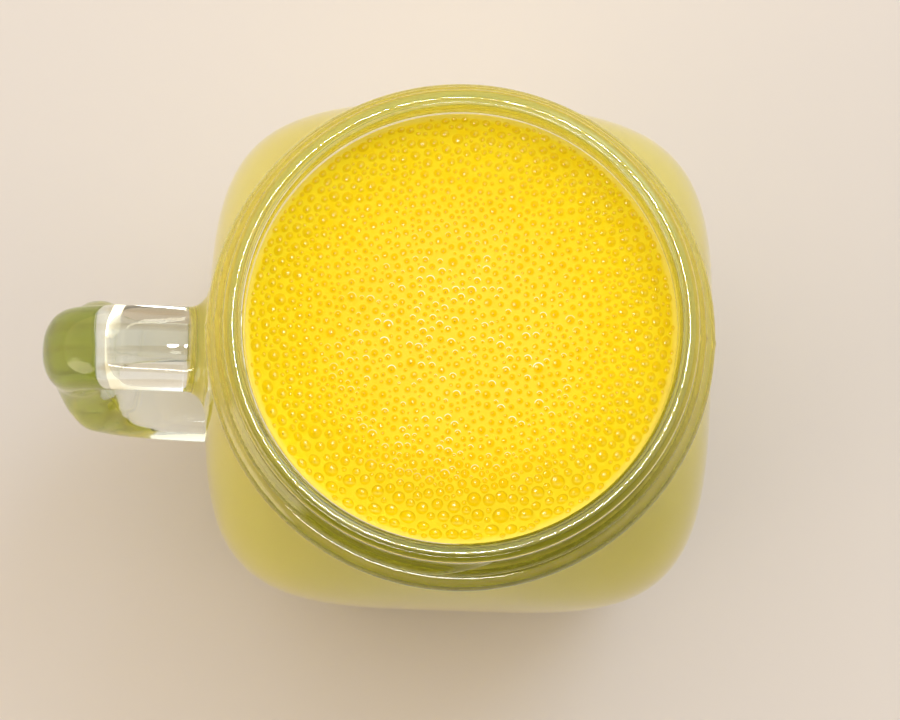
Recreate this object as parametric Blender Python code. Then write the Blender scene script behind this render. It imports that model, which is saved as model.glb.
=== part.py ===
"""A handled glass jar mug, filled with a frothy turmeric latte.

The jar is one piece of pressed glass: a rounded-square body, a round threaded neck and a handle
fused to one side. The drink stands inside it up to just under the rim, with a layer of froth
on top. Metres, +Z up. The origin is on the table, under the middle of the jar's mouth, and the
handle points along -X.
"""

import math
import random

import bmesh
import bpy
from mathutils import Matrix, Vector

MM = 0.001

# Jar: outside
jar_height = 133.0 * MM
body_half = 39.6 * MM  # half the width across the flat sides, at the widest level
foot_half = 30.5 * MM
base_arc_height = 9.5 * MM
belly_half = 38.2 * MM  # half the width where the base's round corner ends
shoulder_from = 76.0 * MM  # the widest level
shoulder_top = 111.5 * MM
shoulder_fullness = 0.75
groove_radius = 33.9 * MM
bead_radius = 36.7 * MM
bead_middle = 116.6 * MM
bead_half_height = 2.6 * MM
neck_radius = 33.0 * MM
body_squareness = 4.0  # exponent of the superellipse; 2 is a circle

# Jar: inside
mouth_radius = 30.25 * MM
wall = 3.3 * MM
floor_thickness = 6.0 * MM
inner_corner = 10.0 * MM
inner_straight_from = 120.0 * MM

# Jar: lip and thread
lip_round = 1.4 * MM
thread_radius = 34.7 * MM  # to the crest
thread_tube = 1.75 * MM
thread_top_drop = 5.6 * MM  # from the rim down to where the thread begins
thread_pitch = 4.4 * MM
thread_turns = 1.25
thread_start_deg = -76.5

# Handle
handle_width = 13.4 * MM  # at its upper arm
handle_low_width = 22.4 * MM  # at its lower arm
handle_spread_from = 66.0 * MM  # it widens from this level down
handle_spread_to = 45.0 * MM
handle_thickness = 10.6 * MM
handle_reach = 67.6 * MM  # from the mouth's axis to the outside of the grip
handle_top = 81.0 * MM
handle_bottom = 24.5 * MM
root_flare = 1.3  # how much thicker the glass is where the handle meets the wall

# Drink and froth
clearance = 0.3 * MM  # gap between touching pieces
froth_level = 127.3 * MM
froth_thickness = 8.0 * MM
bubble_count = 128
largest_bubble = 1.22 * MM  # radius
smallest_bubble = 0.78 * MM

sides = 64  # facets round the jar


def smooth(a, b, x):
    """0 up to a, 1 from b, with an even ease between."""
    t = min(max((x - a) / (b - a), 0.0), 1.0)
    return t * t * (3 - 2 * t)


def squareness_at(z):
    """The section is a rounded square in the body and a circle in the neck."""
    return body_squareness + (2.0 - body_squareness) * smooth(shoulder_from, shoulder_top, z)


def outer_half(z):
    """Half the outside width of the body at a level between the base corner and the groove."""
    if z < shoulder_from:
        rise = smooth(base_arc_height - 25 * MM, shoulder_from, z)
        return belly_half + (body_half - belly_half) * rise
    share = min((z - shoulder_from) / (shoulder_top - shoulder_from), 1.0)
    return groove_radius + (body_half - groove_radius) * (1 - share ** 2) ** shoulder_fullness


def inner_half(z):
    """Half the inside width at a level: the outside less the wall, easing into the straight mouth."""
    if z >= inner_straight_from:
        return mouth_radius
    body = outer_half(min(z, shoulder_top)) - wall
    return body + (mouth_radius - body) * smooth(shoulder_from - 2 * MM, inner_straight_from, z)


def arc(count, start, end):
    """Angles in radians from start to end, both given in degrees."""
    return [math.radians(start + (end - start) * i / (count - 1)) for i in range(count)]


def levels(low, high, count):
    """Evenly spaced levels between low and high, leaving both out."""
    return [low + (high - low) * (i + 1) / (count + 1) for i in range(count)]


def outside_rings():
    """(half width, level) from the edge of the flat base up and over the lip."""
    wide = belly_half - foot_half
    rings = [(foot_half + wide * math.sin(t), base_arc_height * (1 - math.cos(t))) for t in arc(5, 0, 90)]
    rings += [(outer_half(z), z) for z in levels(base_arc_height, shoulder_from, 4)]
    rings += [(outer_half(z), z) for z in (shoulder_from, 84 * MM, 92 * MM, 99 * MM, 105 * MM, 109 * MM)]
    rings += [(groove_radius, bead_middle - bead_half_height)]
    bulge = bead_radius - neck_radius
    rings += [(neck_radius + bulge * math.cos(t), bead_middle + bead_half_height * 0.86 * math.sin(t))
              for t in arc(5, -62, 90)]
    rings += [(neck_radius, 121.0 * MM), (neck_radius, 126.0 * MM)]
    rings += lip_rings()
    return rings


def lip_rings():
    """The rounded rim, from the neck's outside over the top to the mouth's inside."""
    outer_arc = [(neck_radius - lip_round * (1 - math.cos(t)), jar_height - lip_round * (1 - math.sin(t)))
                 for t in arc(4, 0, 90)]
    inner_arc = [(mouth_radius + lip_round * (1 - math.sin(t)), jar_height - lip_round * (1 - math.cos(t)))
                 for t in arc(4, 0, 90)]
    return outer_arc + inner_arc[1:]


def cavity_rings(gap, top):
    """(half width, level) of the inside from the level called top down to the floor, shrunk by gap."""
    corner_top = floor_thickness + inner_corner
    steps = (inner_straight_from, 115 * MM, 110 * MM, 104 * MM, 97 * MM, 89 * MM, shoulder_from - 2 * MM,
             56 * MM, 35 * MM)
    rings = [(inner_half(z) - gap, z) for z in (top, *steps) if z <= top]
    wide = inner_half(corner_top) - gap
    for t in arc(5, 0, 90):
        half = wide - (inner_corner - gap) * (1 - math.cos(t))
        rings.append((half, corner_top - (inner_corner - gap) * math.sin(t)))
    rings.append((10 * MM, floor_thickness + gap))
    return rings


def ring_points(half, z):
    """One closed section: a superellipse in polar form, so that its points are evenly spread."""
    n = squareness_at(z)
    points = []
    for i in range(sides):
        a = 2 * math.pi * i / sides
        reach = half * (abs(math.cos(a)) ** n + abs(math.sin(a)) ** n) ** (-1 / n)
        points.append(Vector((reach * math.cos(a), reach * math.sin(a), z)))
    return points


def loft(name, rings, first_tip, last_tip):
    """A closed skin through the rings, with a fan from each end ring to the point on the axis."""
    bm = bmesh.new()
    loops = [[bm.verts.new(p) for p in ring_points(half, z)] for half, z in rings]
    for below, above in zip(loops, loops[1:]):
        for i in range(sides):
            j = (i + 1) % sides
            bm.faces.new((below[i], below[j], above[j], above[i]))
    for loop, tip, flip in ((loops[0], first_tip, True), (loops[-1], last_tip, False)):
        middle = bm.verts.new((0, 0, tip))
        for i in range(sides):
            a, b = loop[i], loop[(i + 1) % sides]
            bm.faces.new((b, a, middle) if flip else (a, b, middle))
    bmesh.ops.recalc_face_normals(bm, faces=bm.faces)
    mesh = bpy.data.meshes.new(name)
    bm.to_mesh(mesh)
    bm.free()
    return bpy.data.objects.new(name, mesh)


def curve_to_mesh(name, points, radii, depth, resolution):
    """A filled tube along points as a mesh object, with its caps welded."""
    data = bpy.data.curves.new(name, "CURVE")
    data.dimensions = "3D"
    data.bevel_depth = depth
    data.bevel_resolution = resolution
    data.use_fill_caps = True
    spline = data.splines.new("POLY")
    spline.points.add(len(points) - 1)
    for target, point, radius in zip(spline.points, points, radii):
        target.co = (*point, 1.0)
        target.radius = radius
    source = bpy.data.objects.new(name + "_path", data)
    bpy.context.scene.collection.objects.link(source)
    evaluated = source.evaluated_get(bpy.context.evaluated_depsgraph_get())
    mesh = bpy.data.meshes.new_from_object(evaluated)
    bpy.data.objects.remove(source)
    bm = bmesh.new()
    bm.from_mesh(mesh)
    bmesh.ops.remove_doubles(bm, verts=bm.verts, dist=0.01 * MM)
    bmesh.ops.recalc_face_normals(bm, faces=bm.faces)
    bm.to_mesh(mesh)
    bm.free()
    return bpy.data.objects.new(name, mesh)


def through(points, steps):
    """A smooth curve through the points, with steps to a span."""
    padded = [points[0] * 2 - points[1], *points, points[-1] * 2 - points[-2]]
    found = []
    for p0, p1, p2, p3 in zip(padded, padded[1:], padded[2:], padded[3:]):
        for i in range(steps):
            t = i / steps
            found.append(0.5 * (2 * p1 + (p2 - p0) * t + (2 * p0 - 5 * p1 + 4 * p2 - p3) * t * t
                                + (3 * p1 - p0 - 3 * p2 + p3) * t ** 3))
    found.append(points[-1])
    return found


def handle_widening(z):
    """How much wider than thick the handle is at a level; its lower arm is wider."""
    share = 1 - smooth(handle_spread_to, handle_spread_from, z)
    return (handle_width + (handle_low_width - handle_width) * share) / handle_thickness


def handle():
    """A round tube along an ear-shaped path, widened along Y to the handle's flat oval section."""
    outer = handle_reach - handle_thickness / 2
    inside = wall * 0.45  # how deep the ends sit in the glass of the wall
    route = [
        Vector((-(outer_half(handle_top) - inside), 0, handle_top - 0.3 * MM)),
        Vector((-47.4 * MM, 0, handle_top + 0.4 * MM)),
        Vector((-55.4 * MM, 0, handle_top - 0.9 * MM)),
        Vector((-60.9 * MM, 0, handle_top - 6.2 * MM)),
        Vector((-outer, 0, handle_top - 15.5 * MM)),
        Vector((-61.9 * MM, 0, handle_top - 29 * MM)),
        Vector((-59.3 * MM, 0, handle_bottom + 13.0 * MM)),
        Vector((-52.2 * MM, 0, handle_bottom + 3.6 * MM)),
        Vector((-(outer_half(handle_bottom) - inside), 0, handle_bottom)),
    ]
    points = through(route, 3)
    lengths = [0.0]
    for a, b in zip(points, points[1:]):
        lengths.append(lengths[-1] + (b - a).length)
    reach = 9 * MM  # length of the flare at each root
    radii = [1 + (root_flare - 1) * max(1 - smooth(0, reach, s), smooth(lengths[-1] - reach, lengths[-1], s))
             for s in lengths]
    obj = curve_to_mesh("handle", points, radii, handle_thickness / 2, 3)
    for vertex in obj.data.vertices:
        vertex.co.y *= handle_widening(vertex.co.z)
    return obj


def thread():
    """A ridge that winds down round the neck, fading in and out at its ends."""
    steps = 62
    points, radii = [], []
    for i in range(steps + 1):
        share = i / steps
        fade = min(smooth(0, 0.05, share), 1 - smooth(0.93, 1.0, share))
        angle = math.radians(thread_start_deg - 360 * thread_turns * share)
        z = jar_height - thread_top_drop - thread_pitch * thread_turns * share
        out = thread_radius - thread_tube - (1 - fade) * 1.1 * MM
        points.append(Vector((out * math.cos(angle), out * math.sin(angle), z)))
        radii.append(0.55 + 0.45 * fade)
    return curve_to_mesh("thread", points, radii, thread_tube, 2)


def material(name, colour, roughness, alpha=1.0):
    made = bpy.data.materials.new(name)
    made.use_nodes = True
    shader = made.node_tree.nodes["Principled BSDF"]
    shader.inputs["Base Color"].default_value = (*colour, 1.0)
    shader.inputs["Roughness"].default_value = roughness
    shader.inputs["Metallic"].default_value = 0.0
    shader.inputs["Alpha"].default_value = alpha
    return made


def fuse(base, pieces, solver="EXACT"):
    """Joins the pieces to base by one Boolean union and removes them."""
    tools = bpy.data.collections.new(base.name + "_pieces")
    for piece in pieces:
        tools.objects.link(piece)
    bpy.context.scene.collection.children.link(tools)
    union = base.modifiers.new("join", "BOOLEAN")
    union.operation = "UNION"
    union.operand_type = "COLLECTION"
    union.collection = tools
    union.solver = solver
    evaluated = base.evaluated_get(bpy.context.evaluated_depsgraph_get())
    mesh = bpy.data.meshes.new_from_object(evaluated)
    base.modifiers.clear()
    base.data = mesh
    for piece in pieces:
        bpy.data.objects.remove(piece)
    bpy.data.collections.remove(tools)


def shade(obj, sharp_deg):
    obj.data.shade_smooth()
    obj.data.set_sharp_from_angle(angle=math.radians(sharp_deg))


def jar(parts):
    rings = outside_rings() + cavity_rings(0.0, 124 * MM)
    obj = loft("jar", rings, 0.0, floor_thickness)
    parts.objects.link(obj)
    fuse(obj, [handle(), thread()])
    obj.data.materials.clear()
    obj.data.materials.append(material("clear_glass", (0.86, 0.91, 0.84), 0.03, 0.35))
    shade(obj, 40)


def latte(parts):
    """The drink, from the jar's floor up to the underside of the froth."""
    top = froth_level - froth_thickness - clearance
    obj = loft("latte", cavity_rings(clearance, top), top, floor_thickness + clearance)
    parts.objects.link(obj)
    obj.data.materials.append(material("turmeric_milk", (0.86, 0.62, 0.10), 0.3))
    shade(obj, 40)


def bubble_places(radius):
    """Bubbles on an even spiral, the larger ones towards the wall and most of all at the front."""
    rng = random.Random(7)
    golden = math.pi * (3 - math.sqrt(5))
    places = []
    for i in range(bubble_count):
        out = math.sqrt((i + 0.5) / bubble_count)
        angle = i * golden + rng.uniform(-0.06, 0.06)
        front = 0.5 - 0.5 * math.sin(angle)
        share = min(1.0, out ** 3 * (0.35 + 0.65 * front) + rng.uniform(0.0, 0.35))
        size = smallest_bubble + (largest_bubble - smallest_bubble) * share
        spread = (radius - size - 0.25 * MM) * out
        places.append((spread * math.cos(angle), spread * math.sin(angle), size))
    return places


def froth(parts):
    """A disc of foam with its largest bubbles standing up as domes."""
    radius = mouth_radius - clearance
    middle = froth_level - froth_thickness / 2
    bpy.ops.mesh.primitive_cylinder_add(vertices=sides, radius=radius, depth=froth_thickness,
                                        location=(0, 0, middle))
    obj = bpy.context.active_object
    obj.name = "froth"
    obj.data.transform(obj.matrix_world)
    obj.matrix_world = Matrix.Identity(4)
    for owner in list(obj.users_collection):
        owner.objects.unlink(obj)
    parts.objects.link(obj)
    domes = []
    for x, y, size in bubble_places(radius):
        bm = bmesh.new()
        bmesh.ops.create_uvsphere(bm, u_segments=8, v_segments=4, radius=size)
        flatten = Matrix.Translation((x, y, froth_level - 0.12 * size)) @ Matrix.Diagonal((1, 1, 0.72, 1))
        bmesh.ops.transform(bm, matrix=flatten, verts=bm.verts)
        mesh = bpy.data.meshes.new("bubble")
        bm.to_mesh(mesh)
        bm.free()
        domes.append(bpy.data.objects.new("bubble", mesh))
    fuse(obj, domes)
    obj.data.materials.clear()
    obj.data.materials.append(material("milk_foam", (0.96, 0.72, 0.06), 0.35))
    shade(obj, 30)


def main():
    for old in list(bpy.data.objects):
        bpy.data.objects.remove(old)
    parts = bpy.data.collections.new("turmeric_latte")
    bpy.context.scene.collection.children.link(parts)
    jar(parts)
    latte(parts)
    froth(parts)


main()
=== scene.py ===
import math

import bpy
import numpy as np
from mathutils import Matrix, Vector


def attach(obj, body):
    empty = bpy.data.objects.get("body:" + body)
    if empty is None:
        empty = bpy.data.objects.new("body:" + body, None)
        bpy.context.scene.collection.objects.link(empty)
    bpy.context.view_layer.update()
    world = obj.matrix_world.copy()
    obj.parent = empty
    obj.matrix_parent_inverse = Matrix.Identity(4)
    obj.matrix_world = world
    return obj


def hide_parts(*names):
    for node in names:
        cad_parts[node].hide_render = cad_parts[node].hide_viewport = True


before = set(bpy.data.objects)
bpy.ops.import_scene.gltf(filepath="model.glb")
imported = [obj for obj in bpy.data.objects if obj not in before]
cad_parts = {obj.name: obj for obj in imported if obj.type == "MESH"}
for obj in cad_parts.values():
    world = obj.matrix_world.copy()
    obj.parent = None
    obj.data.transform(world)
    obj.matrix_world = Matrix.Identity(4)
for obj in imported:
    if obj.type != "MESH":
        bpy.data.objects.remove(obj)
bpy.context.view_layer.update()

# A handled drinking jar of clear, faintly green glass, filled nearly to the rim with a bright yellow
# turmeric latte under a layer of fine froth, seen from almost straight above. Shapes are worked out
# in millimetres and scaled to metres when a mesh is made.

mm = 0.001
scene = bpy.context.scene


# Helpers for shapes

def smooth(a, b, x):
    # 0 up to a, 1 from b, with an even ease between
    t = np.clip((np.asarray(x, float) - a) / (b - a), 0, 1)
    return t * t * (3 - 2 * t)


def arc(count, start, end):
    # angles in radians from start to end, both in degrees
    return np.radians(np.linspace(start, end, count))


def unitReach(angle, squareness):
    # distance from the middle to a superellipse of half width 1, in the direction of angle
    c, s = np.abs(np.cos(angle)), np.abs(np.sin(angle))
    return (c ** squareness + s ** squareness) ** (-1 / squareness)


def gridFaces(rows, columns, closed=True):
    # quads between neighbouring rows of a grid; closed joins the last column to the first
    last = columns if closed else columns - 1
    r, c = np.meshgrid(np.arange(rows - 1), np.arange(last), indexing="ij")
    here, beside = r * columns + c, r * columns + (c + 1) % columns
    return np.stack([here, beside, beside + columns, here + columns], -1).reshape(-1, 4)


def fanFaces(ring, tip, flip=False):
    # triangles from each edge of a closed ring of vertex numbers to the vertex called tip
    beside = np.roll(ring, -1)
    edge = (beside, ring) if flip else (ring, beside)
    return np.stack([*edge, np.full(len(ring), tip)], -1)


def makeObject(name, points, faceSets):
    # one smooth mesh from points in millimetres and arrays of quads or triangles
    mesh = bpy.data.meshes.new(name)
    loops = np.concatenate([f.ravel() for f in faceSets]).astype(np.int32)
    sizes = np.concatenate([np.full(len(f), f.shape[1]) for f in faceSets]).astype(np.int32)
    mesh.vertices.add(len(points))
    mesh.vertices.foreach_set("co", np.ascontiguousarray(points * mm, np.float32).ravel())
    mesh.loops.add(len(loops))
    mesh.loops.foreach_set("vertex_index", loops)
    mesh.polygons.add(len(sizes))
    mesh.polygons.foreach_set("loop_start", (np.cumsum(sizes) - sizes).astype(np.int32))
    mesh.update(calc_edges=True)
    mesh.shade_smooth()
    made = bpy.data.objects.new(name, mesh)
    scene.collection.objects.link(made)
    print(name, "made with", len(points), "points")
    return made


def closedTube(name, rings, firstTip, lastTip):
    # a closed skin from a grid of rings, with a fan from each end ring to a point
    rows, columns = rings.shape[:2]
    count = rows * columns
    points = np.concatenate([rings.reshape(-1, 3), [firstTip, lastTip]])
    ring = np.arange(columns)
    firstFan = fanFaces(ring, count, True)
    lastFan = fanFaces(ring + count - columns, count + 1)
    return makeObject(name, points, [gridFaces(rows, columns), firstFan, lastFan])


def addAttribute(obj, name, values):
    # one number for each vertex, for a material to read
    made = obj.data.attributes.new(name, "FLOAT", "POINT")
    made.data.foreach_set("value", np.ascontiguousarray(values, np.float32).ravel())


# Helpers for materials

class Wire:
    # One output of a node tree. Arithmetic on it adds Math nodes, and a number may stand on either side.
    def __init__(self, finish, socket):
        self.finish, self.socket = finish, socket

    def math(self, operation, first, second=0.0):
        return self.finish.node("ShaderNodeMath", {"operation": operation}, {0: first, 1: second})

    def __add__(self, other):
        return self.math("ADD", self, other)

    def __radd__(self, other):
        return self.math("ADD", other, self)

    def __mul__(self, other):
        return self.math("MULTIPLY", self, other)

    def __rmul__(self, other):
        return self.math("MULTIPLY", other, self)

    def __sub__(self, other):
        return self.math("SUBTRACT", self, other)

    def __rsub__(self, other):
        return self.math("SUBTRACT", other, self)

    def exp(self):
        return self.math("EXPONENT", self)

    def root(self):
        return self.math("SQRT", self)


class Finish:
    # A node tree, built by calls that each add one node and give one of its outputs.
    def __init__(self, tree):
        self.tree = tree
        tree.nodes.clear()

    def add(self, kind, settings=None, values=None):
        made = self.tree.nodes.new(kind)
        for key, value in (settings or {}).items():
            setattr(made, key, value)
        for key, value in (values or {}).items():
            if isinstance(value, Wire):
                self.tree.links.new(value.socket, made.inputs[key])
            else:
                made.inputs[key].default_value = value
        return made

    def node(self, kind, settings=None, values=None, out=0):
        return Wire(self, self.add(kind, settings, values).outputs[out])

    def axes(self, where):
        # the X, Y and Z of a place or direction
        return [Wire(self, part) for part in self.add("ShaderNodeSeparateXYZ", None, {0: where}).outputs]

    def mixColour(self, factor, first, second):
        values = {0: factor, 6: opaque(first), 7: opaque(second)}
        return self.node("ShaderNodeMix", {"data_type": "RGBA"}, values, out=2)

    def attribute(self, name):
        return self.node("ShaderNodeAttribute", {"attribute_name": name}, out=2)

    def millimetres(self, stretch=(1, 1, 1)):
        # Object coordinates in millimetres
        values = {"Vector": self.node("ShaderNodeTexCoord", out=3), "Scale": [1000 * s for s in stretch]}
        return self.node("ShaderNodeMapping", None, values)

    def noise(self, where, scale, detail=2.0):
        return self.node("ShaderNodeTexNoise", None, {"Vector": where, "Scale": scale, "Detail": detail})

    def easeBetween(self, a, b, x):
        settings = {"interpolation_type": "SMOOTHSTEP"}
        return self.node("ShaderNodeMapRange", settings, {"Value": x, "From Min": a, "From Max": b})

    def bump(self, height, distance):
        return self.node("ShaderNodeBump", None, {"Height": height, "Distance": distance, "Strength": 1.0})

    def principled(self, **values):
        named = {key.replace("_", " "): value for key, value in values.items()}
        return self.node("ShaderNodeBsdfPrincipled", None, named)

    def output(self, surface, volume=None):
        values = {"Surface": surface}
        if volume is not None:
            values["Volume"] = volume
        self.add("ShaderNodeOutputMaterial", None, values)


def opaque(colour):
    return (*colour, 1.0) if isinstance(colour, tuple) else colour


def newMaterial(name):
    made = bpy.data.materials.new(name)
    made.use_nodes = True
    return made, Finish(made.node_tree)


# The jar's shape

jarSpec = {
    "height": 133.0,
    "bodyHalf": 39.6,
    "bellyHalf": 38.2,
    "footHalf": 30.5,
    "pushUp": 1.2,  # the middle of the base stands clear of the table
    "pushUpFrom": 8.0,  # how far inside the foot's edge it starts, and where it ends
    "pushUpTo": 2.0,
    "baseArc": 9.5,
    "taperFrom": -15.5,
    "shoulderFrom": 76.0,
    "shoulderTop": 111.5,
    "fullness": 0.75,
    "grooveRadius": 33.9,
    "beadRadius": 36.7,
    "beadMiddle": 116.6,
    "beadHalfHeight": 2.6,
    "neckRadius": 33.0,
    "squareness": 4.0,  # exponent of the body's superellipse; 2 is a circle
    "mouthRadius": 30.25,
    "wall": 3.3,
    "floor": 6.0,
    "innerCorner": 10.0,
    "innerStraightFrom": 120.0,
    "lipRound": 1.4,
    "threadHeight": 1.7,
    "threadHalfWidth": 1.9,
    "threadTopDrop": 5.6,
    "threadPitch": 4.4,
    "threadTurns": 1.25,
    "threadStart": -76.5,  # degrees
    "threadFadeIn": 0.045,  # share of its length over which it rises, and from where it falls
    "threadFadeOut": 0.93,
    "threadSharpness": 1.3,
    "seamHeight": 0.14,
    "seamHalfWidth": 0.5,
    "seamFoot": (12, 20),  # levels between which it rises and falls away
    "seamTop": (129, 131),
    "columns": 288,
}


def squarenessAt(z):
    # the section is a rounded square in the body and a circle in the neck
    j = jarSpec
    return j["squareness"] + (2.0 - j["squareness"]) * smooth(j["shoulderFrom"], j["shoulderTop"], z)


def outerHalf(z):
    # half the outside width of the body: a slight taper, then the shoulder's power curve
    j = jarSpec
    z = np.asarray(z, float)
    taper = smooth(j["taperFrom"], j["shoulderFrom"], z)
    straight = j["bellyHalf"] + (j["bodyHalf"] - j["bellyHalf"]) * taper
    share = np.clip((z - j["shoulderFrom"]) / (j["shoulderTop"] - j["shoulderFrom"]), 0, 1)
    shoulder = j["grooveRadius"] + (j["bodyHalf"] - j["grooveRadius"]) * (1 - share ** 2) ** j["fullness"]
    return np.where(z < j["shoulderFrom"], straight, shoulder)


def innerHalf(z):
    # half the inside width: the outside less the wall, easing into the straight mouth
    j = jarSpec
    z = np.asarray(z, float)
    body = outerHalf(np.minimum(z, j["shoulderTop"])) - j["wall"]
    ease = smooth(j["shoulderFrom"] - 2, j["innerStraightFrom"], z)
    return body + (j["mouthRadius"] - body) * ease


def outerProfile():
    # (half width, level) from the middle of the base up the outside and over the lip
    j = jarSpec
    half = np.linspace(1.0, j["footHalf"] - 1.5, 16)
    rise = 1 - smooth(j["footHalf"] - j["pushUpFrom"], j["footHalf"] - j["pushUpTo"], half)
    base = (half, j["pushUp"] * rise)
    t = arc(14, 0, 90)
    wide = j["bellyHalf"] - j["footHalf"]
    corner = (j["footHalf"] + wide * np.sin(t), j["baseArc"] * (1 - np.cos(t)))
    beadBottom = j["beadMiddle"] - j["beadHalfHeight"]
    z = np.linspace(j["baseArc"] + 1.5, beadBottom - 2.4, 62)
    body = (outerHalf(z), z)
    t = arc(16, -76, 90)
    bead = (j["neckRadius"] + (j["beadRadius"] - j["neckRadius"]) * np.cos(t),
            j["beadMiddle"] + j["beadHalfHeight"] * np.sin(t))
    z = np.linspace(j["beadMiddle"] + j["beadHalfHeight"] + 0.3, j["height"] - j["lipRound"], 50)
    neck = (np.full_like(z, j["neckRadius"]), z)
    t = arc(9, 8, 90)
    r = j["lipRound"]
    lipOut = (j["neckRadius"] - r * (1 - np.cos(t)), j["height"] - r * (1 - np.sin(t)))
    lipIn = (j["mouthRadius"] + r * (1 - np.sin(t)), j["height"] - r * (1 - np.cos(t)))
    return np.concatenate([np.stack(p, -1) for p in (base, corner, body, bead, neck, lipOut, lipIn)])


def innerProfile(top, grow=0.0):
    # (half width, level) from top down the inside to the floor, larger by grow on every side
    j = jarSpec
    cornerTop = j["floor"] + j["innerCorner"]
    z = np.linspace(top, cornerTop + 1.2, 58)
    wallPart = np.stack([innerHalf(z) + grow, z], -1)
    t = arc(12, 0, 90)
    radius, wide = j["innerCorner"] + grow, innerHalf(cornerTop) + grow
    corner = np.stack([wide - radius * (1 - np.cos(t)), cornerTop - radius * np.sin(t)], -1)
    floor = np.linspace(0.92, 0.04, 12)[:, None] * [corner[-1, 0], 0] + [0, corner[-1, 1]]
    return np.concatenate([wallPart, corner, floor])


def threadRise(angle, z):
    # a rounded ridge along a helix: cosine of the distance to each turn, fading at both ends
    j = jarSpec
    rise = np.zeros(np.broadcast(angle, z).shape)
    turned = ((math.radians(j["threadStart"]) - angle) / (2 * math.pi)) % 1.0
    for lap in range(math.ceil(j["threadTurns"])):
        share = (turned + lap) / j["threadTurns"]
        middle = j["height"] - j["threadTopDrop"] - j["threadPitch"] * (turned + lap)
        offset = np.clip((z - middle) / j["threadHalfWidth"], -1, 1)
        fade = smooth(0, j["threadFadeIn"], share) * (1 - smooth(j["threadFadeOut"], 1.0, share))
        ridge = np.cos(offset * math.pi / 2) ** j["threadSharpness"]
        rise = np.maximum(rise, j["threadHeight"] * ridge * fade)
    return rise


def outerRise(angle, z):
    # the thread, and a fine mould seam up each side that dies out where the body is widest
    j = jarSpec
    away = np.arcsin(np.abs(np.sin(angle))) * j["neckRadius"]
    ends = smooth(*j["seamFoot"], z) * (1 - smooth(*j["seamTop"], z))
    seam = j["seamHeight"] * np.exp(-(away / j["seamHalfWidth"]) ** 2) * ends
    seam = np.minimum(seam, j["bodyHalf"] - outerHalf(z))
    aboveBead = j["beadMiddle"] + j["beadHalfHeight"]
    return threadRise(angle, z) * smooth(aboveBead - 0.6, aboveBead + 0.4, z) + seam


def loftRings(profile, rise=None):
    # carries a profile round the axis: each ring is a superellipse in polar form, plus the rise
    angle = np.linspace(0, 2 * math.pi, jarSpec["columns"], endpoint=False)[None, :]
    half, z = profile[:, :1], profile[:, 1:]
    reach = half * unitReach(angle, squarenessAt(z))
    if rise is not None:
        reach = reach + rise(angle, z)
    return np.stack([reach * np.cos(angle), reach * np.sin(angle), np.broadcast_to(z, reach.shape)], -1)


# The handle's shape: an oval tube along an ear-shaped path, flaring where it meets the wall

handleSpec = {
    "width": 13.4,  # at its upper arm
    "lowWidth": 22.4,  # at its lower arm
    "spreadFrom": 66.0,  # it widens from this level down
    "spreadTo": 45.0,
    "halfThickness": 5.3,
    "reach": 67.16,
    "top": 81.0,
    "bottom": 24.5,
    "rootRound": 3.4,  # radius of the fillet at each root
    "inside": 1.4,  # how deep each end sits in the wall
    "squareness": 2.25,
    "around": 48,
}


def handleRoute():
    # points of the centre line, in the X-Z plane
    h = handleSpec
    top, bottom, inside = h["top"], h["bottom"], h["inside"]
    return np.array([
        (-(outerHalf(top) - inside), top - 0.3),
        (-47.4, top + 0.4),
        (-55.4, top - 0.9),
        (-60.9, top - 6.2),
        (-(h["reach"] - h["halfThickness"]), top - 15.5),
        (-61.9, top - 29),
        (-59.3, bottom + 13.0),
        (-52.2, bottom + 3.6),
        (-(outerHalf(bottom) - inside), bottom),
    ])


def throughPoints(points, steps):
    # Catmull-Rom: each span is a cubic through its two ends, with slopes from their neighbours
    ends = [2 * points[0] - points[1]], [2 * points[-1] - points[-2]]
    all4 = np.concatenate([ends[0], points, ends[1]])
    t = np.linspace(0, 1, steps, endpoint=False)[None, :, None]
    p0, p1, p2, p3 = (all4[i:len(all4) - 3 + i, None, :] for i in range(4))
    curve = 0.5 * (2 * p1 + (p2 - p0) * t + (2 * p0 - 5 * p1 + 4 * p2 - p3) * t ** 2
                   + (3 * p1 - p0 - 3 * p2 + p3) * t ** 3)
    return np.concatenate([curve.reshape(-1, points.shape[1]), points[-1:]])


def handleTube():
    # oval sections across the path, each larger by the fillet's rise r - sqrt(r^2 - (r - d)^2),
    # where d is the distance from the wall
    h = handleSpec
    path = throughPoints(handleRoute(), 14)
    tangent = np.gradient(path, axis=0)
    tangent /= np.linalg.norm(tangent, axis=1)[:, None]
    normal = np.stack([tangent[:, 1], -tangent[:, 0]], -1)
    fromWall = np.clip(-path[:, 0] - outerHalf(path[:, 1]), 0, None)
    r = h["rootRound"]
    grow = (r - np.sqrt(r ** 2 - np.clip(r - fromWall, 0, r) ** 2))[:, None]
    angle = np.linspace(0, 2 * math.pi, h["around"], endpoint=False)
    reach = unitReach(angle, h["squareness"])
    across = reach * np.cos(angle) * (h["halfThickness"] + grow)
    z = path[:, 1:] + normal[:, 1:] * across
    share = 1 - smooth(h["spreadTo"], h["spreadFrom"], z)
    widening = (h["width"] + (h["lowWidth"] - h["width"]) * share) / 2 / h["halfThickness"]
    wide = reach * np.sin(angle) * (h["halfThickness"] + grow) * widening
    rings = np.stack([path[:, :1] + normal[:, :1] * across, wide, z], -1)
    tips = [[path[i, 0], 0, path[i, 1]] for i in (0, -1)]
    return closedTube("handleTube", rings, *tips)


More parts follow.
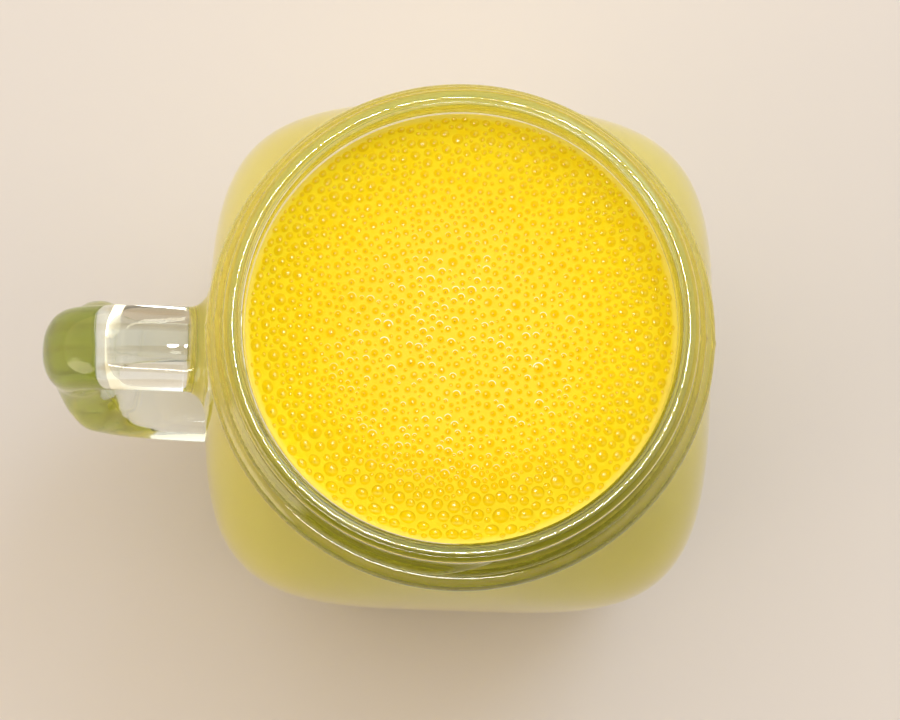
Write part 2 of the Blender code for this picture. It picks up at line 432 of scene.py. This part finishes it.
def joinSolid(base, other):
    # one closed solid from two that overlap
    union = base.modifiers.new("join", "BOOLEAN")
    union.operation = "UNION"
    union.solver = "MANIFOLD"
    union.object = other
    evaluated = base.evaluated_get(bpy.context.evaluated_depsgraph_get())
    mesh = bpy.data.meshes.new_from_object(evaluated)
    base.modifiers.clear()
    base.data = mesh
    bpy.data.objects.remove(other)
    mesh.shade_smooth()


glassSpec = {
    "tint": (0.49, 0.77, 0.58),  # what colour is left after a long way through the glass
    "density": 13.5,  # per metre
    "refraction": 1.5,
    "ripple": 0.05 * mm,
    "grain": 0.05,  # the fine grain of the neck, as a share of the ripple
    "bodyGrain": 0.006,
    "neckFrom": (112.0, 114.0),  # levels between which the grain sets in and eases off
    "neckTo": (129.5, 131.5),
    "handleFrom": (40.5, 44.0),  # distances from the axis between which the handle's lines set in
    "streaks": 1.0,  # the draw lines along the handle, as a share of the ripple
    "paintedStreakColour": (0.80, 0.73, 0.60),
    "streakFrom": (70.0, 76.0),  # only its upper arm shows them in colour, painted beige-brown in place of the table seen through the glass
}


def glassMaterial():
    # smooth clear glass with a green-yellow depth, a slow ripple and a faint moulded grain
    g = glassSpec
    made, f = newMaterial("clearGreenGlass")
    where = f.millimetres()
    x, _, level = f.axes(where)
    onNeck = f.easeBetween(*g["neckFrom"], level) - f.easeBetween(*g["neckTo"], level) * 0.6
    onHandle = f.easeBetween(*g["handleFrom"], 0.0 - x)
    height = f.noise(where, 0.09, 1.0) + f.noise(where, 1.5) * (onNeck * g["grain"] + g["bodyGrain"])
    lines = f.noise(f.millimetres((0.03, 0.6, 0.06)), 1.0, 1.0)
    height = height + lines * onHandle * g["streaks"]
    # painted in colour: beige-brown lines on the upper arm, for the table seen through the bar
    streaks = f.easeBetween(0.50, 0.60, lines) * onHandle * f.easeBetween(*g["streakFrom"], level)
    surface = f.principled(Base_Color=f.mixColour(streaks, (1.0, 1.0, 1.0), g["paintedStreakColour"]), Roughness=0.0,
                           IOR=g["refraction"], Transmission_Weight=1.0, Normal=f.bump(height, g["ripple"]))
    depth = f.node("ShaderNodeVolumeAbsorption", None, {"Color": (*g["tint"], 1), "Density": g["density"]})
    f.output(surface, depth)
    return made


def makeJar():
    # the outer and inner profile carried round as one closed skin, with the handle joined on
    j = jarSpec
    profile = np.concatenate([outerProfile(), innerProfile(j["height"] - j["lipRound"] - 0.6)])
    outside = len(outerProfile())
    rings = np.concatenate([loftRings(profile[:outside], outerRise), loftRings(profile[outside:])])
    jar = closedTube("glassJar", rings, [0, 0, j["pushUp"]], [0, 0, j["floor"]])
    joinSolid(jar, handleTube())
    jar.data.materials.clear()
    jar.data.materials.append(glassMaterial())
    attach(jar, "root")
    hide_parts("jar")
    print("jar done,", len(jar.data.polygons), "faces")


# The latte, up to the underside of the froth

latteSpec = {
    "intoWall": 0.16,  # how far it reaches into the glass, so that no air gap shows
    "colour": (0.96, 0.80, 0.15),
    "deepColour": (0.95, 0.77, 0.12),
    "shadedColour": (0.37, 0.34, 0.01),  # towards the near side
    "bodyShade": 0.4,  # how much of it shows at the shoulder, and how much more inside the neck
    "bodyShadeFrom": (55.0, 95.0),  # levels between which it sets in
    "neckShade": 0.5,
    "neckShadeFrom": (108.0, 116.0),
    "roughness": 0.5,
}


def towardsFront(f, where, start, full):
    # 0 up to start millimetres in front of the axis, 1 from full on
    return f.easeBetween(start, full, 0.0 - f.axes(where)[1])


def nearSide(f, where):
    # 0 on the far side, 1 on the near side, where less light reaches the drink
    return towardsFront(f, where, -6.0, 28.0)


def latteMaterial():
    s = latteSpec
    made, f = newMaterial("turmericMilk")
    where = f.millimetres()
    drift = f.noise(f.millimetres((1, 1, 0.4)), 0.06, 3.0)
    colour = f.mixColour(f.easeBetween(0.35, 0.65, drift), s["colour"], s["deepColour"])
    level = f.axes(where)[2]
    inNeck = f.easeBetween(*s["neckShadeFrom"], level) * s["neckShade"]
    inBody = f.easeBetween(*s["bodyShadeFrom"], level) * s["bodyShade"]
    colour = f.mixColour(nearSide(f, where) * (inNeck + inBody), colour, s["shadedColour"])
    f.output(f.principled(Base_Color=colour, Roughness=s["roughness"], Specular_IOR_Level=0.1))
    return made


def makeLatte():
    # the inside of the jar, a little larger all round, up to a flat top just under the froth
    top = frothSpec["level"] - frothSpec["depth"] + 0.1
    profile = innerProfile(top, latteSpec["intoWall"])
    rings = loftRings(profile)
    latte = closedTube("latteBody", rings[::-1], [0, 0, profile[-1, 1]], [0, 0, top])
    latte.data.materials.append(latteMaterial())
    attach(latte, "root")
    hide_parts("latte")


# The froth and its bubbles

bubbleSpec = {
    "seed": 11,
    # radius, how many are wanted
    "sizes": ((0.82, 12), (0.70, 100), (0.60, 320), (0.53, 480), (0.45, 600), (0.36, 700), (0.26, 900)),
    "spread": (0.92, 1.08),  # of the sizes
    "growth": 0.15,  # how much larger they are near the glass, and what the front adds to that
    "frontGrowth": 0.6,
    "tries": 50,
    "most": 4000,
    "clearOfGlass": 0.25,
    "largeFrom": 0.5,  # radius from which a bubble gets the finer mesh
    "gap": (0.08, 0.17),  # froth left between two bubbles, near the glass and in the middle
    "contact": (6, 11),  # degrees between a bubble's skin and the level, at its rim
    "skirtLift": 0.016,  # how high the froth is drawn up round each bubble
    "skirtReach": 0.09,
    "skirtSteps": (0.07, 0.26),
    "skirtSink": 0.012,  # how far its last ring goes under the froth
    "squeeze": 0.24,  # how much narrower a bubble is across the gap, where it sits against the glass
    "colour": (0.97, 0.58, 0.0),
    "frontColour": (0.91, 0.60, 0.0),
    # painted shade at each bubble's rim
    "rimShadeColour": (0.72, 0.46, 0.0),
    # painted shade of the small speck near each bubble's top
    "shadeSpeckColour": (0.50, 0.28, 0.0),
    # painted light where it gathers in each hollow
    "paintedLightColour": (1.0, 0.80, 0.10),
    # painted highlight: a bright arc at the far edge of some bubbles
    "paintedHighlightColour": (1.0, 0.97, 0.72),
    "highlightArcShare": 0.32,  # of the bubbles in the middle that have a painted highlight at their edge
    "roughness": 0.4,
    "coat": 0.25,  # the wet film, which shows the lamp as a small white dot
    "coatRoughness": 0.11,
    "coatRefraction": 1.33,
}


def placeBubbles():
    # largest first, each tried at random places and kept where it is clear of all the others;
    # sizes grow towards the glass, most of all at the front
    b = bubbleSpec
    rng = np.random.default_rng(b["seed"])
    room = jarSpec["mouthRadius"]
    found = np.zeros((b["most"], 3))
    count = 0
    for size, wanted in b["sizes"]:
        kept = 0
        angles = rng.uniform(0, 2 * math.pi, wanted * b["tries"])
        outs = room * np.sqrt(rng.random(wanted * b["tries"]))
        front = (0.5 - 0.5 * np.sin(angles)) ** 2
        growth = 0.94 + smooth(20, 28.5, outs) * (b["growth"] + b["frontGrowth"] * front)
        radii = size * growth * rng.uniform(*b["spread"], len(outs))
        xs, ys = outs * np.cos(angles), outs * np.sin(angles)
        gaps = b["gap"][1] + (b["gap"][0] - b["gap"][1]) * smooth(16, 26, outs - ys * 0.25)
        for x, y, r, out, gap in zip(xs, ys, radii, outs, gaps):
            if out + r > room - b["clearOfGlass"]:
                continue
            near = found[:count]
            if np.any((near[:, 0] - x) ** 2 + (near[:, 1] - y) ** 2 < (near[:, 2] + r + gap) ** 2):
                continue
            found[count] = x, y, r
            count += 1
            kept += 1
            if kept == wanted:
                break
    print("bubbles placed:", count)
    return found[:count]


frothSpec = {
    "level": 127.3,
    "depth": 8.0,
    "intoWall": 0.2,
    "cells": 160,  # faces along each side of the square that is bent into the disc
    "wave": 0.10,
    "creep": 0.16,  # how far the froth climbs the glass
    "creepReach": 0.3,
    "colour": (1.0, 0.75, 0.016),
    "deepColour": (1.0, 0.69, 0.0),
    "paintedLightColour": (1.0, 0.80, 0.15),
    "sheenMiddle": 0.22,  # how far the foam takes that painted sheen in the middle, and along the glass
    "sheenEdge": 0.6,
    # painted shade on the near side of the foam
    "frontColour": (0.90, 0.68, 0.025),
    "sideColour": (0.95, 0.78, 0.10),
    "shadedColour": (0.38, 0.36, 0.02),
    "roughness": 0.4,
    "relief": 0.02 * mm,  # of the bubbles too fine to model
}


def frothLevel(x, y):
    # the froth's own level: two slow waves, and the climb up the glass
    s = frothSpec
    out = np.hypot(x, y)
    wave = np.sin(0.17 * x + 0.11 * y + 1.0) * np.cos(0.13 * y - 0.05 * x) + 0.4 * np.sin(0.41 * y - 0.33 * x)
    climb = s["creep"] * np.exp(-np.clip(jarSpec["mouthRadius"] - out, 0, None) / s["creepReach"])
    return s["level"] + s["wave"] * wave + climb


def makeFroth():
    # a square grid bent into a disc (each square becomes a circle of the same size), then down the
    # side and closed underneath
    s = frothSpec
    n = s["cells"]
    side = np.linspace(-1, 1, n + 1)
    u, v = np.meshgrid(side, side, indexing="xy")
    size = np.maximum(np.abs(u), np.abs(v))
    flatWay = np.abs(u) >= np.abs(v)
    ratio = np.where(flatWay, v / np.where(u == 0, 1, u), u / np.where(v == 0, 1, v))
    turn = ratio * math.pi / 4
    long = np.where(flatWay, u, v)
    radius = jarSpec["mouthRadius"] + s["intoWall"]
    x = np.where(flatWay, long * np.cos(turn), long * np.sin(turn)).ravel() * radius
    y = np.where(flatWay, long * np.sin(turn), long * np.cos(turn)).ravel() * radius
    top = np.stack([x, y, frothLevel(x, y)], -1)

    grid = np.arange((n + 1) ** 2).reshape(n + 1, n + 1)
    ring = np.concatenate([grid[0, :-1], grid[:-1, -1], grid[-1, :0:-1], grid[:0:-1, 0]])
    columns = len(ring)
    low = s["level"] - s["depth"]
    ringTop = top[ring]
    downs = np.array([0.04, 0.3, 0.65, 1.0])[:, None]  # shares of the way down its side
    sideZ = ringTop[None, :, 2] + (low - ringTop[None, :, 2]) * downs
    sideRings = np.stack([np.broadcast_to(ringTop[:, 0], sideZ.shape),
                          np.broadcast_to(ringTop[:, 1], sideZ.shape), sideZ], -1)
    points = np.concatenate([top, sideRings.reshape(-1, 3), [[0, 0, low]]])
    start = len(top)
    rows = np.concatenate([ring[None, :], start + np.arange(len(downs) * columns).reshape(-1, columns)])
    beside = np.roll(rows, -1, axis=1)
    sideFaces = np.stack([rows[1:], beside[1:], beside[:-1], rows[:-1]], -1).reshape(-1, 4)
    faces = [gridFaces(n + 1, n + 1, False), sideFaces, fanFaces(rows[-1], len(points) - 1, True)]
    froth = makeObject("frothTop", points, faces)
    addAttribute(froth, "wallSide", np.arange(len(points)) >= start)
    froth.data.materials.append(frothMaterial())
    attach(froth, "root")
    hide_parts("froth")


def foamColour(f, where):
    # bright yellow with deeper patches, painted shade in front, and a painted sheen in the middle and along
    # the glass
    s = frothSpec
    across = f.node("ShaderNodeVectorMath", {"operation": "LENGTH"}, {0: f.millimetres((1, 1, 0))}, out=1)
    patches = f.easeBetween(0.45, 0.62, f.noise(where, 0.55, 3.0))
    colour = f.mixColour(patches * 0.6, s["colour"], s["deepColour"])
    # painted shade towards the front
    colour = f.mixColour(towardsFront(f, where, 12.0, 29.0) * 0.7, colour, s["frontColour"])
    # painted sheen: paler in the middle and in a thin ring along the glass
    inMiddle = (1.0 - f.easeBetween(8.0, 25.0, across)) * s["sheenMiddle"]
    atGlass = f.easeBetween(29.3, 30.0, across) * s["sheenEdge"]
    return f.mixColour(inMiddle + atGlass, colour, s["paintedLightColour"])


def frothMaterial():
    # foam pocked with bubbles too fine to model; its side, seen through the glass, shows bubbles
    # pressed flat against the wall
    s = frothSpec
    made, f = newMaterial("yellowFoam")
    where = f.millimetres()
    cells = f.node("ShaderNodeTexVoronoi", {"feature": "SMOOTH_F1"}, {"Vector": where, "Scale": 0.9})
    wallSide = f.attribute("wallSide")
    sideColour = f.mixColour(f.easeBetween(0.1, 0.9, cells) * 0.4, s["sideColour"], s["deepColour"])
    sideColour = f.mixColour(nearSide(f, where) * 0.93, sideColour, s["shadedColour"])
    colour = f.mixColour(wallSide, foamColour(f, where), sideColour)
    fine = f.node("ShaderNodeTexVoronoi", None, {"Vector": where, "Scale": 4.5})
    height = fine * 0.5 + cells * wallSide
    f.output(f.principled(Base_Color=colour, Roughness=s["roughness"], Specular_IOR_Level=0.0,
                          Coat_Weight=0.03, Coat_Roughness=0.4, Coat_IOR=1.33,
                          Normal=f.bump(height, s["relief"])))
    return made


def makeDomes(name, bubbles, around, rings, seed):
    # one cap of a sphere for each bubble: z = r (cos(a t) - cos a) / sin a at the distance
    # r sin(a t) / sin a, for t from 0 at the top to 1 at the rim, where a is the angle at which the
    # skin meets the froth; then a skirt that sinks into the froth as exp(-distance / reach). Near
    # the glass each is squeezed towards it.
    b = bubbleSpec
    rng = np.random.default_rng(seed)
    count = len(bubbles)
    x, y, r = (bubbles[:, i, None, None] for i in range(3))
    contact = np.radians(rng.uniform(*b["contact"], count))[:, None, None]
    t = (np.arange(1, rings + 1) / rings)[None, :, None]
    capOut = np.sin(contact * t) / np.sin(contact)
    capLift = b["skirtLift"] + r * (np.cos(contact * t) - np.cos(contact)) / np.sin(contact)
    away = np.array(b["skirtSteps"])[None, :, None]
    skirtLift = b["skirtLift"] * np.exp(-away / b["skirtReach"]) - b["skirtSink"] * away / away.max()
    out = np.concatenate([capOut, 1 + away / r], 1)
    lift = np.concatenate([capLift, np.broadcast_to(skirtLift, (count, away.size, 1))], 1)
    angle = (np.arange(around) * 2 * math.pi / around)[None, None, :]
    u, v = out * np.cos(angle), out * np.sin(angle)
    shape = u.shape
    far = np.hypot(x, y)
    inX, inY = x / far, y / far
    squeeze = b["squeeze"] * smooth(26.5, 29.0, far + r)
    along = (u * inX + v * inY) * squeeze
    px, py = x + r * (u - along * inX), y + r * (v - along * inY)
    body = np.stack([px, py, frothLevel(px, py) + lift], -1).reshape(count, -1, 3)
    peak = frothLevel(x, y) + b["skirtLift"] + r * (1 - np.cos(contact)) / np.sin(contact)
    tips = np.concatenate([x, y, peak], -1).reshape(count, 1, 3)
    points = np.concatenate([tips, body], 1)
    perDome = points.shape[1]
    offsets = (np.arange(count) * perDome)[:, None, None]
    quads = (gridFaces(shape[1], around)[:, ::-1] + 1)[None] + offsets
    fans = fanFaces(np.arange(around) + 1, 0)[None] + offsets
    domes = makeObject(name, points.reshape(-1, 3), [quads.reshape(-1, 4), fans.reshape(-1, 3)])
    for key, values in (("acrossDome", u), ("alongDome", v)):
        addAttribute(domes, key, np.concatenate([np.zeros((count, 1)), values.reshape(count, -1)], 1))
    addAttribute(domes, "chance", np.repeat(rng.random(count), perDome))
    return domes


def bubbleMaterial():
    # a thin wet skin over a deeper yellow hollow: an edge that eases into the foam, a rim of painted
    # shade, a soft patch of painted light where light gathers (a level streak at the front), a small
    # speck of painted shade near the top, and a painted highlight arc at the far edge of some in the middle
    s = bubbleSpec
    made, f = newMaterial("bubbleSkin")
    u, v, chance = f.attribute("acrossDome"), f.attribute("alongDome"), f.attribute("chance")
    where = f.millimetres()
    x, y, _ = f.axes(where)
    out = (u * u + v * v).root()
    front = towardsFront(f, where, 15.0, 23.0)
    foam = foamColour(f, where)
    byGlass = f.easeBetween(17.0, 27.0, (x * x + y * y).root())
    edge = f.easeBetween(0.66, 1.0, out) * (1.0 - front) * (0.9 - byGlass * 0.5)
    colour = f.mixColour(edge, f.mixColour(byGlass, s["colour"], s["frontColour"]), foam)
    # painted shade at the rim: strong on the far side of bubbles at the front, faint on those by the glass
    shade = front * f.easeBetween(-0.7, 0.5, v) * 0.85 + byGlass * (1.0 - front) * 0.25
    colour = f.mixColour(f.easeBetween(0.6, 0.92, out) * shade, colour, s["rimShadeColour"])
    # painted light: a soft pale patch where light gathers in the hollow, a level streak at the front
    du, dv = u - (1.0 - front) * 0.32, v - y * 0.012 + 0.08
    patch = ((du * du * (9.0 - front * 6.5) + dv * dv * (9.0 + front * 16.0)) * -1.0).exp()
    colour = f.mixColour(patch * (0.15 + chance * 0.75) * byGlass, colour, s["paintedLightColour"])
    # painted shade: a small dark speck near the top of each bubble
    du, dv = u + 0.06, v + 0.2
    speck = ((du * du + dv * dv) * -34.0).exp() * (1.0 - front * 0.6)
    colour = f.mixColour(speck * (0.25 + chance * 0.55), colour, s["shadeSpeckColour"])
    # painted highlight: a bright arc at the far edge of some bubbles in the middle
    middle = 1.0 - f.easeBetween(11.0, 21.0, (x * x + (y + 4.0) * (y + 4.0)).root())
    picked = f.easeBetween(1.0 - s["highlightArcShare"], 1.02 - s["highlightArcShare"], chance) * middle
    arc = f.easeBetween(0.80, 0.92, out) * f.easeBetween(0.1, 0.55, v + (chance - 0.8) * u * 2.0)
    colour = f.mixColour(arc * picked, colour, s["paintedHighlightColour"])
    colour = f.mixColour(f.easeBetween(0.98, 1.08, out), colour, foam)
    f.output(f.principled(Base_Color=colour, Roughness=s["roughness"], Specular_IOR_Level=0.0,
                          Coat_Weight=s["coat"], Coat_Roughness=s["coatRoughness"],
                          Coat_IOR=s["coatRefraction"]))
    return made


def makeBubbles(bubbles):
    isLarge = bubbles[:, 2] > bubbleSpec["largeFrom"]
    large, small = bubbles[isLarge], bubbles[~isLarge]
    skin = bubbleMaterial()
    # name, bubbles, faces around, rings from the top to the rim, seed
    kinds = ("largeBubbles", large, 14, 3, 3), ("smallBubbles", small, 10, 2, 4)
    for kind in kinds:
        domes = makeDomes(*kind)
        domes.data.materials.append(skin)
        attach(domes, "root")
        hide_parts("froth")


# Floor, light and camera

stageSpec = {
    "floorColour": (0.76, 0.695, 0.635),
    "floorSize": 4.0,
    "warmSky": (1.0, 0.86, 0.68),
    "coolSky": (0.97, 0.95, 0.93),
    "wallGlow": 1.36,  # strength of the sky all round
    "frontFrom": (0, -0.995, 0.1),
    "front": 0.9,  # how much darker that is in front
    "brightFrom": (0.20, 0.60, 0.77),  # the middle of the brightest part of the sky
    "brightness": 0.25,
    "shadeFrom": (-0.03, -0.22, 0.97),  # the middle of a dark patch overhead
    "shade": 0.62,
    "cardFrom": (-0.86, -0.50, 0.12),  # where a pale card stands, near and to the left
    "cardStrength": 3.6,
    # name: place and size in metres, power, colour, whether it lights things
    "lights": {
        "window": ((1.1, 1.5, 2.2), (1.4, 1.4), 15.0, (0.47, 0.68, 1.0), True),
        "lamp": ((-0.02, 0.09, 1.05), (0.09, 0.09), 2.6, (1, 1, 1), False),
        "strip": ((-0.25, -0.92, 1.05), (1.3, 0.09), 7.5, (1.0, 0.97, 0.90), False),
    },
}


def makeFloor():
    s = stageSpec
    half = s["floorSize"] / 2 / mm
    corners = np.array([(-half, -half, 0), (half, -half, 0), (half, half, 0), (-half, half, 0)])
    floor = makeObject("paleFloor", corners, [np.array([[0, 1, 2, 3]])])
    made, f = newMaterial("paleTable")
    f.output(f.principled(Base_Color=opaque(s["floorColour"]), Roughness=0.6, Specular_IOR_Level=0.2))
    floor.data.materials.append(made)


def areaLight(name, place, size, power, colour, lights):
    # a flat light that faces the jar; size is its width and height, and lights says whether it
    # lights things, or only shows as a highlight
    data = bpy.data.lights.new(name, "AREA")
    data.shape = "ELLIPSE"
    data.size, data.size_y = size
    data.energy = power
    data.color = colour
    made = bpy.data.objects.new(name, data)
    made.location = place
    middle = Vector((0, 0, 0.1))
    made.rotation_euler = (Vector(place) - middle).to_track_quat("Z", "Y").to_euler()
    made.visible_diffuse = lights
    scene.collection.objects.link(made)


def makeLight():
    # a soft warm sky, dark in front and overhead and bright behind, with a pale card low on the
    # left; a window behind to the right; and a lamp and a strip that only show as highlights
    s = stageSpec
    world = bpy.data.worlds.new("softSky")
    world.use_nodes = True
    scene.world = world
    f = Finish(world.node_tree)
    direction = f.node("ShaderNodeTexCoord")
    up = f.axes(direction)[2]

    def facing(place, start, full):
        # 0 to 1 as the direction nears place; start and full are cosines of the angle between them
        dot = f.node("ShaderNodeVectorMath", {"operation": "DOT_PRODUCT"}, {0: direction, 1: place}, out=1)
        return f.easeBetween(start, full, dot)

    bright = facing(s["brightFrom"], 0.25, 1.0) * f.easeBetween(-0.05, 0.45, up)
    low = (1.0 - facing(s["frontFrom"], 0.2, 0.85) * s["front"]) * s["wallGlow"]
    strength = (low + bright * s["brightness"]) * (1.0 - facing(s["shadeFrom"], 0.78, 0.96) * s["shade"])
    strength = strength + facing(s["cardFrom"], 0.95, 0.975) * s["cardStrength"]
    colour = f.mixColour(bright, s["warmSky"], s["coolSky"])
    sky = f.node("ShaderNodeBackground", None, {"Color": colour, "Strength": strength})
    f.add("ShaderNodeOutputWorld", None, {"Surface": sky})
    for name, settings in s["lights"].items():
        areaLight(name, *settings)


cameraSpec = {
    "frameWidth": 900,
    "frameHeight": 720,
    "sensor": 36.0,
    "lens": 104.55,
    "rimPixel": (461.5, 323.3),  # where the middle of the rim shows in the photograph
    "rimDistance": 360 * mm,  # along the line of sight
    "forwardTilt": 5.354,  # degrees from straight down
    "sideTilt": 0.218,
    "turn": 1.94,
}


def makeCamera():
    # worked out from where the rim shows, how far it is, and how far the view leans from straight down
    c = cameraSpec
    turn, side, lean = (math.radians(c[key]) for key in ("turn", "sideTilt", "forwardTilt"))
    right = Vector((math.cos(turn) * math.cos(side), math.sin(turn) * math.cos(side), math.sin(side)))
    level = Vector((-math.sin(turn), math.cos(turn), 0))
    up = level * math.cos(lean) + right.cross(level) * math.sin(lean)
    back = right.cross(up)
    perPixel = c["rimDistance"] * c["sensor"] / c["lens"] / c["frameWidth"]
    across = (c["rimPixel"][0] - c["frameWidth"] / 2) * perPixel
    above = (c["frameHeight"] / 2 - c["rimPixel"][1]) * perPixel
    rim = Vector((0, 0, jarSpec["height"] * mm))
    data = bpy.data.cameras.new("camera")
    data.lens, data.sensor_width, data.clip_start = c["lens"], c["sensor"], 0.01
    camera = bpy.data.objects.new("camera", data)
    basis = [right, up, back]
    turned = [[basis[col][row] for col in range(3)] for row in range(3)]
    place = rim - right * across - up * above + back * c["rimDistance"]
    camera.matrix_world = Matrix.Translation(place) @ Matrix(turned).to_4x4()
    scene.collection.objects.link(camera)
    scene.camera = camera


def setLook():
    # plain colours, and enough bounces for thick glass
    scene.view_settings.view_transform = "Standard"
    scene.view_settings.look = "None"
    cycles = scene.cycles
    cycles.max_bounces = 24
    cycles.transmission_bounces = 24
    cycles.glossy_bounces = 16
    cycles.diffuse_bounces = 4
    cycles.sample_clamp_indirect = 6.0
    cycles.use_denoising = True


makeCamera()
makeLight()
makeFloor()
setLook()
print("stage set")
makeJar()
makeLatte()
bubbles = placeBubbles()
makeFroth()
makeBubbles(bubbles)
